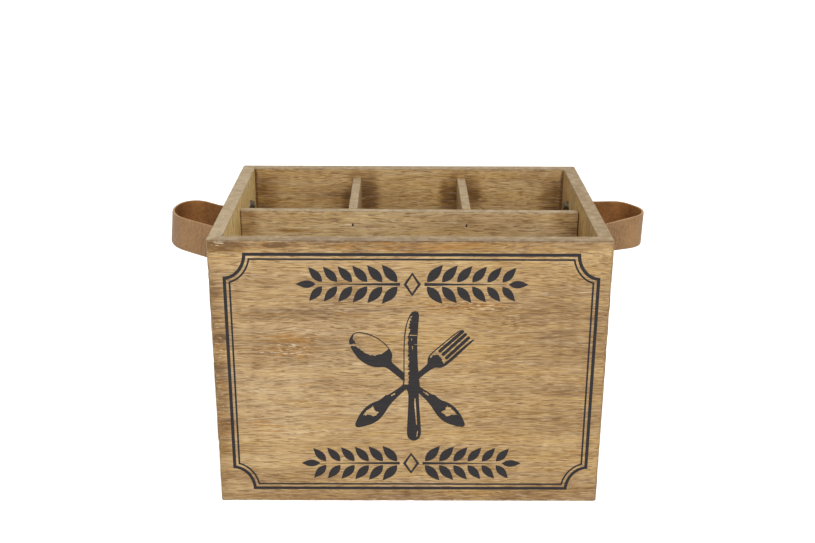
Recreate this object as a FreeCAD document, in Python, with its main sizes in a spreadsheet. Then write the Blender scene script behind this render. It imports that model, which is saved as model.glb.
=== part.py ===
import FreeCAD, Part
import math
import os
import re

import Sketcher

# Open wooden caddy: a mitred box with a long compartment at the front, three compartments behind it and
# a looped leather strap on each side for a handle.
# +X is to the right, +Y to the back and +Z up. The origin is under the middle of the box, on the surface
# that it stands on. Lengths are millimetres.

SIZES = {
    # Box boards
    "box_width": 300,
    "box_depth": 210,
    "box_height": 220,
    "wall": 11,
    "corner_ease": 1.6,
    "arris": 0.8,
    "cut_overrun": 2,
    # Base panel, held in a groove round the four walls
    "base_thickness": 6,
    "base_rise": 6,
    "groove_depth": 4,
    "groove_clearance": 0.5,
    # Dividers
    "front_bay": 89,
    "middle_bay": 86,
    "divider_thickness": 7.5,
    "divider_drop": 8.5,
    # Leather straps: band, tabs and what both loops share
    "strap_width": 25,
    "strap_thickness": 2,
    "strap_drop": 11,
    "tab_length": 12,
    "tab_corner": 4,
    "loop_reach": 45,
    "root_bend": 4,
    # Left loop: how far from its screws it lifts off the wall, and its two outer bends
    "left_front_lift": 14,
    "left_rear_lift": 36,
    "left_tip_bend": 27,
    "left_tip_back": 6,
    "left_shoulder_bend": 13.5,
    "left_shoulder_back": 18.5,
    "left_shoulder_setback": 0.7,
    # Right loop
    "right_front_lift": 22,
    "right_rear_lift": 21,
    "right_tip_bend": 18,
    "right_tip_back": 8,
    "right_shoulder_bend": 13,
    "right_shoulder_back": 20,
    "right_shoulder_setback": 7,
    # Handle screws, washers and nuts
    "screw_spread": 114,
    "screw_diameter": 5,
    "screw_clearance": 0.25,
    "screw_end": 0.5,
    "head_diameter": 9.5,
    "head_crown": 6,
    "head_height": 3,
    "head_rim": 0.8,
    "recess_length": 5,
    "recess_width": 1.2,
    "recess_depth": 1.6,
    "head_washer_diameter": 13,
    "nut_washer_diameter": 10,
    "washer_thickness": 1,
    "nut_across": 8,
    "nut_thickness": 2.7,
    "nut_bevel": 0.5,
    # Brads of rectangular wire
    "brad_width": 1.2,
    "brad_height": 1.8,
    "brad_length": 25,
    "brad_set": 0.6,
}

# Corner radius of a regular hexagon as a share of its width across the flats.
HEX_CORNER_SHARE = 1 / math.sqrt(3)
# Heights of the brads, as shares of the board that they hold.
CORNER_BRAD_SHARES = (0.12, 0.5, 0.88)
DIVIDER_BRAD_SHARES = (0.06, 0.5, 0.94)

# Places that several pieces take from the sizes above.
BASE_TOP = "(base_rise + base_thickness)"
INNER_WIDTH = "(box_width - 2 * wall)"
INNER_DEPTH = "(box_depth - 2 * wall)"
DIVIDER_TOP = "(box_height - divider_drop)"
DIVIDER_HEIGHT = f"({DIVIDER_TOP} - {BASE_TOP})"
DIVIDER_FRONT = "(wall + front_bay - box_depth / 2)"
DIVIDER_BACK = f"({DIVIDER_FRONT} + divider_thickness)"
SHORT_DIVIDER_X = "(middle_bay / 2 + divider_thickness / 2)"
STRAP_TOP = "(box_height - strap_drop)"
STRAP_BOTTOM = "(box_height - strap_drop - strap_width)"
STRAP_MIDDLE = "(box_height - strap_drop - strap_width / 2)"
TAB_END = "(screw_spread / 2 + tab_length)"
HEAD_SEAT = "(box_width / 2 + strap_thickness + washer_thickness)"
NUT_SEAT = "(box_width / 2 - wall - washer_thickness)"
SCREW_TIP = f"({NUT_SEAT} - nut_thickness - screw_end)"

UP = FreeCAD.Vector(0, 0, 1)
START, END, CENTRE = 1, 2, 3
ORIGIN = (-1, 1)
FULL_TURN = 360
RECESS_ARMS = 4
SIDES = {"left": -1, "right": 1}
NEAR = 1e-4

doc = FreeCAD.newDocument("kitchen_caddy")
sheet = doc.addObject("Spreadsheet::Sheet", "Sizes")
for row, (size_name, size) in enumerate(SIZES.items(), 1):
    sheet.set(f"A{row}", size_name)
    sheet.set(f"B{row}", str(size))
    sheet.setAlias(f"B{row}", size_name)
doc.recompute()

parts = {}


def bound(text):
    """The expression with the sheet's name before each of its sizes."""
    return re.sub(r"[a-z_]+", lambda word: f"Sizes.{word[0]}" if word[0] in SIZES else word[0], text)


def value(text):
    """The number that an expression gives now."""
    return float(sheet.evalExpression(text))


def opposite(text):
    return f"-({text})"


def signed(sign, text):
    return text if sign > 0 else opposite(text)


def hold(sketch, kind, text, *where):
    """Add one dimension to a sketch and bind it to the sheet."""
    index = sketch.addConstraint(Sketcher.Constraint(kind, *where, value(text)))
    sketch.setExpression(f"Constraints[{index}]", bound(text))


def pin_point(sketch, edge, end, x, y):
    hold(sketch, "DistanceX", x, *ORIGIN, edge, end)
    hold(sketch, "DistanceY", y, *ORIGIN, edge, end)


def new_body(label):
    body = doc.addObject("PartDesign::Body", label)
    body.Label = label
    return body


def origin_feature(body, role):
    return next(feature for feature in body.Origin.OriginFeatures if feature.Role == role)


def new_sketch(body, name, role, **offsets):
    """A sketch on one of the body's origin planes, moved along the sketch's own axes by expressions."""
    sketch = body.newObject("Sketcher::SketchObject", name)
    sketch.AttachmentSupport = [(origin_feature(body, role), "")]
    sketch.MapMode = "FlatFace"
    for axis, text in offsets.items():
        sketch.setExpression(f"AttachmentOffset.Base.{axis}", bound(text))
    return sketch


def draw_outline(sketch, points):
    """A closed run of straight edges through the points."""
    corners = [FreeCAD.Vector(value(x), value(y), 0) for x, y in points]
    count = len(corners)
    first = sketch.GeometryCount
    for index in range(count):
        sketch.addGeometry(Part.LineSegment(corners[index], corners[(index + 1) % count]))
    for index, (x, y) in enumerate(points):
        following = first + (index + 1) % count
        sketch.addConstraint(Sketcher.Constraint("Coincident", first + index, END, following, START))
        pin_point(sketch, first + index, START, x, y)


def draw_rectangle(sketch, low_x, low_y, high_x, high_y):
    draw_outline(sketch, [(low_x, low_y), (high_x, low_y), (high_x, high_y), (low_x, high_y)])


def draw_circle(sketch, x, y, diameter):
    centre = FreeCAD.Vector(value(x), value(y), 0)
    edge = sketch.addGeometry(Part.Circle(centre, UP, value(diameter) / 2))
    pin_point(sketch, edge, CENTRE, x, y)
    hold(sketch, "Diameter", diameter, edge)


def add_pad(body, name, sketch, length):
    feature = body.newObject("PartDesign::Pad", name)
    feature.Profile = sketch
    feature.setExpression("Length", bound(length))
    return feature


def add_pocket(body, name, sketch, length, turned):
    feature = body.newObject("PartDesign::Pocket", name)
    feature.Profile = sketch
    feature.Reversed = turned
    feature.setExpression("Length", bound(length))
    check_cut(body, feature)


def check_cut(body, feature):
    """A cut has to take something away."""
    before = feature.BaseFeature.Shape.Volume
    doc.recompute()
    if body.Shape.Volume >= before:
        raise RuntimeError(f"{feature.Label} cuts nothing")


def add_fillet(body, name, radius, wanted):
    """Round those edges of the body so far for which wanted gives true."""
    doc.recompute()
    base = body.Tip
    edges = [f"Edge{index}" for index, edge in enumerate(base.Shape.Edges, 1) if wanted(edge)]
    feature = body.newObject("PartDesign::Fillet", name)
    feature.Base = (base, edges)
    feature.setExpression("Radius", bound(radius))
    doc.recompute()


def mirror_last(body, name, role):
    """Repeat the whole body on the other side of one of its origin planes."""
    doc.recompute()
    feature = body.newObject("PartDesign::Mirrored", name)
    feature.TransformMode = "Whole shape"
    feature.MirrorPlane = (origin_feature(body, role), [""])
    body.Tip = feature


def middle(edge):
    return edge.valueAt((edge.FirstParameter + edge.LastParameter) / 2)


def new_rod(label, diameter, length, start, axis):
    """A round bar from the start point along an axis."""
    rod = doc.addObject("Part::Cylinder", label)
    rod.setExpression("Radius", bound(f"{diameter} / 2"))
    rod.setExpression("Height", bound(length))
    rod.Placement.Rotation = FreeCAD.Rotation(UP, FreeCAD.Vector(*axis))
    for name, text in zip("xyz", start):
        rod.setExpression(f"Placement.Base.{name}", bound(text))
    return rod


def new_bar(label, length, start, axis):
    """A level bar of brad wire from the start point along an axis."""
    bar = doc.addObject("Part::Box", label)
    section = ("brad_width", "brad_width", "brad_height")
    spans = [length if step else side for step, side in zip(axis, section)]
    for name, span in zip(("Length", "Width", "Height"), spans):
        bar.setExpression(name, bound(span))
    for name, text, step, span in zip("xyz", start, axis, spans):
        behind_share = (1 - step) / 2
        bar.setExpression(f"Placement.Base.{name}", bound(f"{text} - ({span}) * {behind_share}"))
    return bar


def new_group(label, members):
    group = doc.addObject("Part::Compound", label)
    group.Links = members
    group.Label = label
    return group


def new_cut(label, base, tools):
    """The base with the tools' space taken out, as a sub-part."""
    cut = doc.addObject("Part::Cut", label)
    cut.Base = base
    cut.Tool = new_group(f"{label}_holes", tools)
    cut.Label = label
    parts[label] = cut


def drive_brads(label, places):
    """Brads driven in at the places, as one sub-part, and the slots that they leave in the boards."""
    brads = []
    slots = []
    for index, (start, axis) in enumerate(places, 1):
        sunk = [f"{text} + {step} * brad_set" for text, step in zip(start, axis)]
        brads.append(new_bar(f"{label}_{index}", "brad_length", sunk, axis))
        slots.append(new_bar(f"{label}_slot_{index}", "brad_length + brad_set", start, axis))
    parts[label] = new_group(label, brads)
    return slots


def facing_front(along, across):
    return along, opposite(across)


def facing_back(along, across):
    return along, across


def facing_left(along, across):
    return opposite(across), along


def facing_right(along, across):
    return across, along


def make_wall(label, length, outer, place, holes):
    """A mitred wall. Its plan runs along the wall and across it, and place turns that into x and y."""
    half = f"{length} / 2"
    body = new_body(f"{label}_blank")
    plan = new_sketch(body, f"{label}_plan", "XY_Plane")
    run = [
        (f"{half} - corner_ease", outer),
        (f"{half} - corner_ease / 2", f"{outer} - corner_ease / 2"),
        (f"{half} - wall", f"{outer} - wall"),
    ]
    back_again = [(opposite(along), across) for along, across in reversed(run)]
    draw_outline(plan, [place(along, across) for along, across in run + back_again])
    add_pad(body, f"{label}_board", plan, "box_height")
    doc.recompute()

    outer_reach = value(outer)
    inner_reach = outer_reach - value("wall")
    ease = value("corner_ease")
    level = (0, value("box_height"))

    def is_arris(edge):
        point = middle(edge)
        heights = [vertex.Z for vertex in edge.Vertexes]
        flat = any(max(abs(height - z) for height in heights) < NEAR for z in level)
        across = abs(point.y) if length == "box_width" else abs(point.x)
        return flat and (across > outer_reach - ease / 2 or across < inner_reach + NEAR)

    add_fillet(body, f"{label}_arrises", "arris", is_arris)
    cut_groove(body, label, length, outer, place)
    new_cut(label, body, holes)


def cut_groove(body, label, length, outer, place):
    """The groove that holds the base panel, along the inner face of a wall."""
    plan = new_sketch(body, f"{label}_groove_plan", "XY_Plane", z="base_rise")
    reach = f"{length} / 2"
    mouth = place(opposite(reach), f"{outer} - wall - cut_overrun")
    floor = place(reach, f"{outer} - wall + groove_depth")
    draw_rectangle(plan, *mouth, *floor)
    add_pocket(body, f"{label}_groove", plan, "base_thickness", turned=True)


def make_divider(label, low, high, holes):
    """A board that stands on the base panel, with its top arrises eased."""
    body = new_body(f"{label}_blank")
    plan = new_sketch(body, f"{label}_plan", "XY_Plane", z=BASE_TOP)
    draw_rectangle(plan, *low, *high)
    add_pad(body, f"{label}_board", plan, DIVIDER_HEIGHT)
    doc.recompute()
    top = value(DIVIDER_TOP)
    box = body.Shape.BoundBox
    along_x = box.XLength > box.YLength

    def is_top_arris(edge):
        run = edge.BoundBox
        lengthwise = run.XLength > run.YLength if along_x else run.YLength > run.XLength
        return lengthwise and abs(run.ZMin - top) < NEAR

    add_fillet(body, f"{label}_arrises", "arris", is_top_arris)
    new_cut(label, body, holes)


def make_base():
    body = new_body("base_panel")
    plan = new_sketch(body, "base_plan", "XY_Plane", z="base_rise")
    half_x = f"{INNER_WIDTH} / 2 + groove_depth - groove_clearance"
    half_y = f"{INNER_DEPTH} / 2 + groove_depth - groove_clearance"
    draw_rectangle(plan, opposite(half_x), opposite(half_y), half_x, half_y)
    add_pad(body, "base_board", plan, "base_thickness")
    parts["base_panel"] = body


def tangent_run(first, second):
    """The straight run from one bend to the next. A bend is x, y and a radius, minus for a right turn."""
    span = math.hypot(second[0] - first[0], second[1] - first[1])
    heading = math.atan2(second[1] - first[1], second[0] - first[0])
    heading -= math.asin((second[2] - first[2]) / span)
    across = (-math.sin(heading), math.cos(heading))
    return [FreeCAD.Vector(x - turn * across[0], y - turn * across[1], 0) for x, y, turn in (first, second)]


def draw_spine(sketch, bends, start_y, end_y):
    """The band's middle line seen from above: along the wall, tangent from bend to bend, along the wall."""
    spots = [(value(x), value(y), sign * value(radius)) for x, y, radius, sign in bends]
    on_wall = spots[0][0] - abs(spots[0][2])
    runs = [[FreeCAD.Vector(on_wall, value(start_y), 0), FreeCAD.Vector(on_wall, spots[0][1], 0)]]
    runs += [tangent_run(first, second) for first, second in zip(spots, spots[1:])]
    runs.append([FreeCAD.Vector(on_wall, spots[-1][1], 0), FreeCAD.Vector(on_wall, value(end_y), 0)])
    lines = [sketch.addGeometry(Part.LineSegment(*run)) for run in runs]
    for index, (x, y, radius, sign) in enumerate(bends):
        centre = FreeCAD.Vector(spots[index][0], spots[index][1], 0)
        reached = runs[index][1] - centre
        left = runs[index + 1][0] - centre
        ends = [math.atan2(point.y, point.x) for point in (reached, left)]
        if sign < 0:
            ends.reverse()
        arc = Part.ArcOfCircle(Part.Circle(centre, UP, value(radius)), *ends)
        edge = sketch.addGeometry(arc)
        reached_end, left_end = (START, END) if sign > 0 else (END, START)
        sketch.addConstraint(Sketcher.Constraint("Tangent", lines[index], END, edge, reached_end))
        sketch.addConstraint(Sketcher.Constraint("Tangent", edge, left_end, lines[index + 1], START))
        pin_point(sketch, edge, CENTRE, x, y)
        hold(sketch, "Radius", radius, edge)
    sketch.addConstraint(Sketcher.Constraint("Vertical", lines[0]))
    sketch.addConstraint(Sketcher.Constraint("Vertical", lines[-1]))
    hold(sketch, "DistanceY", start_y, *ORIGIN, lines[0], START)
    hold(sketch, "DistanceY", end_y, *ORIGIN, lines[-1], END)
    return [f"Edge{index}" for index in range(1, sketch.GeometryCount + 1)]


def make_strap(side, holes):
    """A leather band: a tab on the wall, out round the loop and back to the second tab."""
    sign = SIDES[side]
    label = f"{side}_handle_strap"
    wall_line = "box_width / 2 + strap_thickness / 2"
    tip_line = "box_width / 2 + loop_reach - strap_thickness / 2"
    bends = [
        (f"{wall_line} + root_bend", f"{side}_front_lift - screw_spread / 2", "root_bend", -1),
        (f"{tip_line} - {side}_tip_bend", f"{side}_tip_back", f"{side}_tip_bend", 1),
        (
            f"{tip_line} - {side}_shoulder_bend - {side}_shoulder_setback",
            f"{side}_shoulder_back",
            f"{side}_shoulder_bend",
            1,
        ),
        (f"{wall_line} + root_bend", f"screw_spread / 2 - {side}_rear_lift", "root_bend", -1),
    ]
    body = new_body(f"{label}_blank")
    spine = new_sketch(body, f"{label}_spine", "XY_Plane", z=STRAP_MIDDLE)
    edges = draw_spine(spine, bends, opposite(TAB_END), TAB_END)
    section = new_sketch(body, f"{label}_section", "XZ_Plane", z=TAB_END)
    outer_face = "box_width / 2 + strap_thickness"
    draw_rectangle(section, "box_width / 2", STRAP_BOTTOM, outer_face, STRAP_TOP)
    doc.recompute()
    band = body.newObject("PartDesign::AdditivePipe", f"{label}_band")
    band.Profile = section
    band.Spine = (spine, edges)
    tab_end = value(TAB_END)
    thickness = value("strap_thickness")

    def is_tab_corner(edge):
        point = middle(edge)
        return abs(abs(point.y) - tab_end) < NEAR and abs(edge.BoundBox.XLength - thickness) < NEAR

    add_fillet(body, f"{label}_tab_corners", "tab_corner", is_tab_corner)
    whole = body
    if sign < 0:
        whole = doc.addObject("Part::Mirroring", f"{label}_turned")
        whole.Source = body
        whole.Normal = FreeCAD.Vector(1, 0, 0)
    new_cut(label, whole, holes)


def make_screws(side):
    """Two pan head screws with a cross recess, from outside the strap to just past the nuts."""
    sign = SIDES[side]
    label = f"{side}_handle_screws"
    body = new_body(label)
    body.AllowCompound = True
    sketch = new_sketch(body, f"{side}_screw_half", "XY_Plane", y="screw_spread / 2", z=STRAP_MIDDLE)
    head_top = f"{HEAD_SEAT} + head_height"
    head_rim = f"{HEAD_SEAT} + head_rim"
    half = [
        (SCREW_TIP, "0"),
        (head_top, "0"),
        (head_top, "head_crown / 2"),
        (head_rim, "head_diameter / 2"),
        (HEAD_SEAT, "head_diameter / 2"),
        (HEAD_SEAT, "screw_diameter / 2"),
        (SCREW_TIP, "screw_diameter / 2"),
    ]
    draw_outline(sketch, [(signed(sign, x), y) for x, y in half])
    turned = body.newObject("PartDesign::Revolution", f"{side}_screw")
    turned.Profile = sketch
    turned.ReferenceAxis = (sketch, ["H_Axis"])
    turned.Angle = FULL_TURN
    doc.recompute()

    cross = new_sketch(
        body,
        f"{side}_recess_plan",
        "YZ_Plane",
        x="screw_spread / 2",
        y=STRAP_MIDDLE,
        z=signed(sign, head_top),
    )
    long_half = "recess_length / 2"
    short_half = "recess_width / 2"
    arm = [(short_half, short_half), (short_half, long_half), (opposite(short_half), long_half)]
    outline = []
    for _ in range(RECESS_ARMS):
        outline += arm
        arm = [(opposite(y), x) for x, y in arm]
    draw_outline(cross, outline)
    add_pocket(body, f"{side}_recess", cross, "recess_depth", turned=sign < 0)
    mirror_last(body, f"{side}_screw_pair", "XZ_Plane")
    parts[label] = body


def make_washers(side, place, diameter, seat, outward):
    """Two flat washers whose seat lies at a distance from the middle of the box."""
    sign = SIDES[side]
    label = f"{side}_{place}_washers"
    body = new_body(label)
    body.AllowCompound = True
    sketch = new_sketch(body, f"{label}_plan", "YZ_Plane", z=signed(sign, seat))
    for width in (diameter, "screw_diameter + 2 * screw_clearance"):
        draw_circle(sketch, "screw_spread / 2", STRAP_MIDDLE, width)
    ring = add_pad(body, f"{label}_ring", sketch, "washer_thickness")
    ring.Reversed = sign * outward < 0
    mirror_last(body, f"{label}_pair", "XZ_Plane")
    parts[label] = body


def make_nuts(side):
    """Two hexagon nuts with bevelled outer corners, on the inside of the wall."""
    sign = SIDES[side]
    label = f"{side}_handle_nuts"
    body = new_body(label)
    body.AllowCompound = True
    sketch = new_sketch(body, f"{label}_plan", "YZ_Plane", z=signed(sign, NUT_SEAT))
    corner = f"nut_across * {HEX_CORNER_SHARE}"
    flat = "nut_across / 2"
    steps = [
        (flat, f"{corner} / 2"),
        ("0", corner),
        (opposite(flat), f"{corner} / 2"),
        (opposite(flat), opposite(f"{corner} / 2")),
        ("0", opposite(corner)),
        (flat, opposite(f"{corner} / 2")),
    ]
    outline = [(f"screw_spread / 2 + {across}", f"{STRAP_MIDDLE} + {up}") for across, up in steps]
    draw_outline(sketch, outline)
    draw_circle(sketch, "screw_spread / 2", STRAP_MIDDLE, "screw_diameter")
    block = add_pad(body, f"{label}_block", sketch, "nut_thickness")
    block.Reversed = sign > 0
    doc.recompute()
    bevel_corners(body, side, corner)
    mirror_last(body, f"{label}_pair", "XZ_Plane")
    parts[label] = body


def bevel_corners(body, side, corner):
    """Turn the nut's outer corners down to a cone."""
    sign = SIDES[side]
    sketch = new_sketch(body, f"{side}_nut_bevel_plan", "XY_Plane", y="screw_spread / 2", z=STRAP_MIDDLE)
    face = f"{NUT_SEAT} - nut_thickness"
    triangle = [
        (face, f"{corner} - 2 * nut_bevel"),
        (f"{face} + nut_bevel", corner),
        (face, corner),
    ]
    draw_outline(sketch, [(signed(sign, x), y) for x, y in triangle])
    groove = body.newObject("PartDesign::Groove", f"{side}_nut_bevel")
    groove.Profile = sketch
    groove.ReferenceAxis = (sketch, ["H_Axis"])
    groove.Angle = FULL_TURN
    check_cut(body, groove)


# Brads, with the slots that they need
corner_places = []
long_divider_places = []
for sign in SIDES.values():
    face_x = signed(sign, "box_width / 2")
    inward = (-sign, 0, 0)
    for share in CORNER_BRAD_SHARES:
        height = f"box_height * {share}"
        for end in (-1, 1):
            board_middle = signed(end, "(box_depth / 2 - wall / 2)")
            corner_places.append(((face_x, board_middle, height), inward))
    for share in DIVIDER_BRAD_SHARES:
        height = f"{BASE_TOP} + {DIVIDER_HEIGHT} * {share}"
        board_middle = f"{DIVIDER_FRONT} + divider_thickness / 2"
        long_divider_places.append(((face_x, board_middle, height), inward))

front_places = []
rear_places = []
for sign in SIDES.values():
    board_x = signed(sign, SHORT_DIVIDER_X)
    for share in DIVIDER_BRAD_SHARES:
        height = f"{BASE_TOP} + {DIVIDER_HEIGHT} * {share}"
        front_places.append(((board_x, DIVIDER_FRONT, height), (0, 1, 0)))
        rear_places.append(((board_x, "box_depth / 2", height), (0, -1, 0)))

corner_slots = drive_brads("corner_brads", corner_places)
long_divider_slots = drive_brads("long_divider_brads", long_divider_places)
front_slots = drive_brads("short_divider_front_brads", front_places)
rear_slots = drive_brads("short_divider_rear_brads", rear_places)

# Screw bores of each side, through the strap and the wall
screw_bores = {}
for side, sign in SIDES.items():
    screw_bores[side] = [
        new_rod(
            f"{side}_screw_bore_{index}",
            "(screw_diameter + 2 * screw_clearance)",
            f"{HEAD_SEAT} - {NUT_SEAT}",
            (signed(sign, NUT_SEAT), signed(end, "screw_spread / 2"), STRAP_MIDDLE),
            (sign, 0, 0),
        )
        for index, end in enumerate((-1, 1), 1)
    ]

# Walls
make_wall("front_panel", "box_width", "box_depth / 2", facing_front, corner_slots)
make_wall("back_panel", "box_width", "box_depth / 2", facing_back, corner_slots + rear_slots)
side_slots = corner_slots + long_divider_slots
make_wall("left_side_panel", "box_depth", "box_width / 2", facing_left, side_slots + screw_bores["left"])
make_wall("right_side_panel", "box_depth", "box_width / 2", facing_right, side_slots + screw_bores["right"])
make_base()

# Dividers
half_inner = f"{INNER_WIDTH} / 2"
long_low = (opposite(half_inner), DIVIDER_FRONT)
long_high = (half_inner, DIVIDER_BACK)
make_divider("long_divider", long_low, long_high, long_divider_slots + front_slots)
for side, sign in SIDES.items():
    board_x = signed(sign, SHORT_DIVIDER_X)
    short_low = (f"{board_x} - divider_thickness / 2", DIVIDER_BACK)
    short_high = (f"{board_x} + divider_thickness / 2", f"{INNER_DEPTH} / 2")
    make_divider(f"{side}_short_divider", short_low, short_high, front_slots + rear_slots)

# Handles
for side in SIDES:
    make_strap(side, screw_bores[side])
    make_screws(side)
    make_washers(side, "head", "head_washer_diameter", "box_width / 2 + strap_thickness", 1)
    make_washers(side, "nut", "nut_washer_diameter", "box_width / 2 - wall", -1)
    make_nuts(side)

doc.recompute()

failed = [item.Label for item in doc.Objects if {"Invalid", "Error"} & set(item.State)]
if failed:
    raise RuntimeError(f"not built: {failed}")
for label, part in parts.items():
    if part.Shape.isNull() or not part.Shape.isValid():
        raise RuntimeError(f"bad shape: {label}")

os.makedirs("parts", exist_ok=True)
for label, part in parts.items():
    part.Shape.exportStep(f"parts/{label}.step")
    print(f"{label}: {len(part.Shape.Solids)} solids, {part.Shape.Volume:.0f} cubic mm")
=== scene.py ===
import itertools
import math

import bpy
import numpy as np
from mathutils import Matrix, Quaternion, Vector, noise


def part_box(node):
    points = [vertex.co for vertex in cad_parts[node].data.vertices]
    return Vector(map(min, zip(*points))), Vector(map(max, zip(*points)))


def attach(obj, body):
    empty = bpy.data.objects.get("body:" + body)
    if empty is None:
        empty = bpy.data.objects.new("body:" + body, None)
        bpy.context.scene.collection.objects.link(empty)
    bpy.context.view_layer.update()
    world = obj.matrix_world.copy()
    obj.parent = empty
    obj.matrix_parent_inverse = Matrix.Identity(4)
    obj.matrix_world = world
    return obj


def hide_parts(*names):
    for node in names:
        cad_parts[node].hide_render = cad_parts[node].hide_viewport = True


# Looks of the wooden caddy: worn stained boards, leather loops, dull metal and a printed front.
# Metres, in the frame of the part: +X to the right, +Y to the back, +Z up.

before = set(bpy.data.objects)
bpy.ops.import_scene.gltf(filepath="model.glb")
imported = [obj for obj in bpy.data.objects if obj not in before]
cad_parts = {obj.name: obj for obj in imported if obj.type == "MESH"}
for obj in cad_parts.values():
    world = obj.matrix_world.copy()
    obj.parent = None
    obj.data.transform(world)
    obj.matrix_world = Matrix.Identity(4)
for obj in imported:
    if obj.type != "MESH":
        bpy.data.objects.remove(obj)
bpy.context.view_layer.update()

MM = 0.001
BODY = "root"


# Boards: shape

BOARD_STEP = 3.2 * MM
EDGE_LINES = [gap * MM for gap in (0.0, 0.22, 0.5, 0.9, 1.5, 2.4, 4.0)]
OUTER_ARRIS = 0.6 * MM
INNER_ARRIS = 0.5 * MM
CORNER_EASE = 3.0 * MM
# How far the front and back walls' corners are kept from the arris marks, and how much the side walls'
# corners widen them, painted shade included.
PALE_CORNER = 1.2 * MM
DARK_CORNER = 0.5
MITRE_GAP = 0.1 * MM
WEAR_LENGTH = 11 * MM
CHIP_LENGTH = 5 * MM
CHIP_SIZE = 2.4
CHIP_START = 0.35
UNEVENNESS = 0.45
NOISE_SHIFT = (7.31, 3.17, 1.73)
FAR_FROM_ARRIS = 12 * MM
BOARD_LAYERS = 3
BRAD_REACH = 30 * MM
SLOT_HALF_WIDTH = 0.75 * MM
SLOT_HALF_HEIGHT = 1.35 * MM
SLOT_DEPTH = 0.62 * MM
SLOT_MARGIN = 0.6 * MM
SLOT_POINTS = 16
NEAR = 0.01 * MM
# Where the outer faces of the walls would meet if the corner were sharp.
BOX_CORNER = Vector((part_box("right_side_panel")[1].x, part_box("back_panel")[1].y, 0))


def grid_lines(low, high, step, cells=()):
    """Grid lines from low to high: close together at both ends, even between, and none inside the cells."""
    ends = [low + gap for gap in EDGE_LINES] + [high - gap for gap in EDGE_LINES]
    lines = {round(place, 7) for place in itertools.chain(ends, *cells) if low <= place <= high}
    first, last = low + EDGE_LINES[-1], high - EDGE_LINES[-1]
    count = max(1, round((last - first) / step))
    for place in np.linspace(first, last, count + 1)[1:-1]:
        inside = any(start < place < end for start, end in cells)
        if not inside and min(abs(place - line) for line in lines) > step / 3:
            lines.add(round(float(place), 7))
    return sorted(lines)


def block_skin(*lines):
    """The skin of a block of grid lines along three axes: its points, and its faces looking outwards."""
    counts = [len(places) for places in lines]
    numbers = np.full(counts, -1)
    points = []
    for spot in itertools.product(*map(range, counts)):
        if any(index in (0, count - 1) for index, count in zip(spot, counts)):
            numbers[spot] = len(points)
            points.append([places[index] for places, index in zip(lines, spot)])
    faces = []
    for axis, end in itertools.product(range(3), (0, -1)):
        sheet = np.take(numbers, end, axis)
        corners = [sheet[:-1, :-1], sheet[1:, :-1], sheet[1:, 1:], sheet[:-1, 1:]]
        if (end == -1) != (axis != 1):
            corners.reverse()
        faces += np.stack(corners, -1).reshape(-1, 4).tolist()
    return np.array(points), faces


def cut_slots(points, faces, slots):
    """Open a slot in the front face, where the second axis is least, round each of the slots' middles."""
    front = points[:, 1].min()
    reach = np.array([SLOT_HALF_WIDTH + SLOT_MARGIN, 0, SLOT_HALF_HEIGHT + SLOT_MARGIN])
    quarter = SLOT_POINTS // 4
    first_turn = math.pi * 3 / 4
    turns = math.tau * np.arange(SLOT_POINTS) / SLOT_POINTS - first_turn
    outline = [SLOT_HALF_WIDTH * np.cos(turns), 0 * turns, SLOT_HALF_HEIGHT * np.sin(turns)]
    outline = np.column_stack(outline)
    dark = []
    for across, up in slots:
        middle = np.array([across, front, up])
        off = points - middle
        inside = (np.abs(off) < reach + NEAR).all(1)
        border = np.flatnonzero(inside & (np.abs(off) > reach - NEAR)[:, [0, 2]].any(1))
        faces = [face for face in faces if not inside[face].all()]
        angles = np.arctan2(off[border, 2] / reach[2], off[border, 0] / reach[0])
        around = border[np.argsort((angles + first_turn + NEAR) % math.tau)].tolist()
        corners = np.flatnonzero((np.abs(off[around]) > reach - NEAR).all(1)).tolist()
        ring = list(range(len(points), len(points) + SLOT_POINTS))
        floor = [number + SLOT_POINTS for number in ring]
        points = np.vstack([points, middle + outline, middle + outline + (0, SLOT_DEPTH, 0)])
        around.append(around[0])
        ring.append(ring[0])
        floor.append(floor[0])
        for side, (start, end) in enumerate(zip(corners, corners[1:] + [len(around) - 1])):
            arc = ring[side * quarter : (side + 1) * quarter + 1]
            faces.append(around[start : end + 1] + arc[::-1])
        for index in range(SLOT_POINTS):
            dark.append([ring[index], ring[index + 1], floor[index + 1], floor[index]])
        dark.append(floor[:-1])
    used = sorted({number for face in faces + dark for number in face})
    renumbered = dict(zip(used, range(len(used))))
    faces, dark = ([[renumbered[number] for number in face] for face in group] for group in (faces, dark))
    return points[used], faces, dark


def ripple(points, length, seed):
    """Smooth noise from -1 to 1 at each point."""
    shift = Vector([seed * step for step in NOISE_SHIFT])
    return np.array([noise.noise(Vector(point) / length + shift) for point in points])


def worn(points, radius, seed):
    """The radius of an arris, uneven along it and larger where it is chipped."""
    uneven = 1 + UNEVENNESS * ripple(points, WEAR_LENGTH, seed)
    chips = np.clip(ripple(points, CHIP_LENGTH, seed + 1) - CHIP_START, 0, 1) * CHIP_SIZE
    return radius * (uneven + chips)


def ease(first, second, radius):
    """Round an edge: distances of points from its two faces go in and come out."""
    one = np.maximum(radius - first, 0)
    two = np.maximum(radius - second, 0)
    over = np.maximum(np.hypot(one, two) / radius, 1)
    return first + one - one / over, second + two - two / over


def put(name, data):
    """A new object in the scene."""
    made = bpy.data.objects.new(name, data)
    bpy.context.scene.collection.objects.link(made)
    return made


def build_piece(name, points, faces, materials, indices):
    """A smooth mesh object of these points and faces that moves with the box."""
    mesh = bpy.data.meshes.new(name)
    mesh.from_pydata([tuple(point) for point in points], [], faces)
    for material in materials:
        mesh.materials.append(material)
    mesh.polygons.foreach_set("material_index", indices)
    mesh.polygons.foreach_set("use_smooth", [True] * len(mesh.polygons))
    mesh.validate()
    mesh.update()
    piece = put(name, mesh)
    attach(piece, BODY)
    return piece


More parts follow.
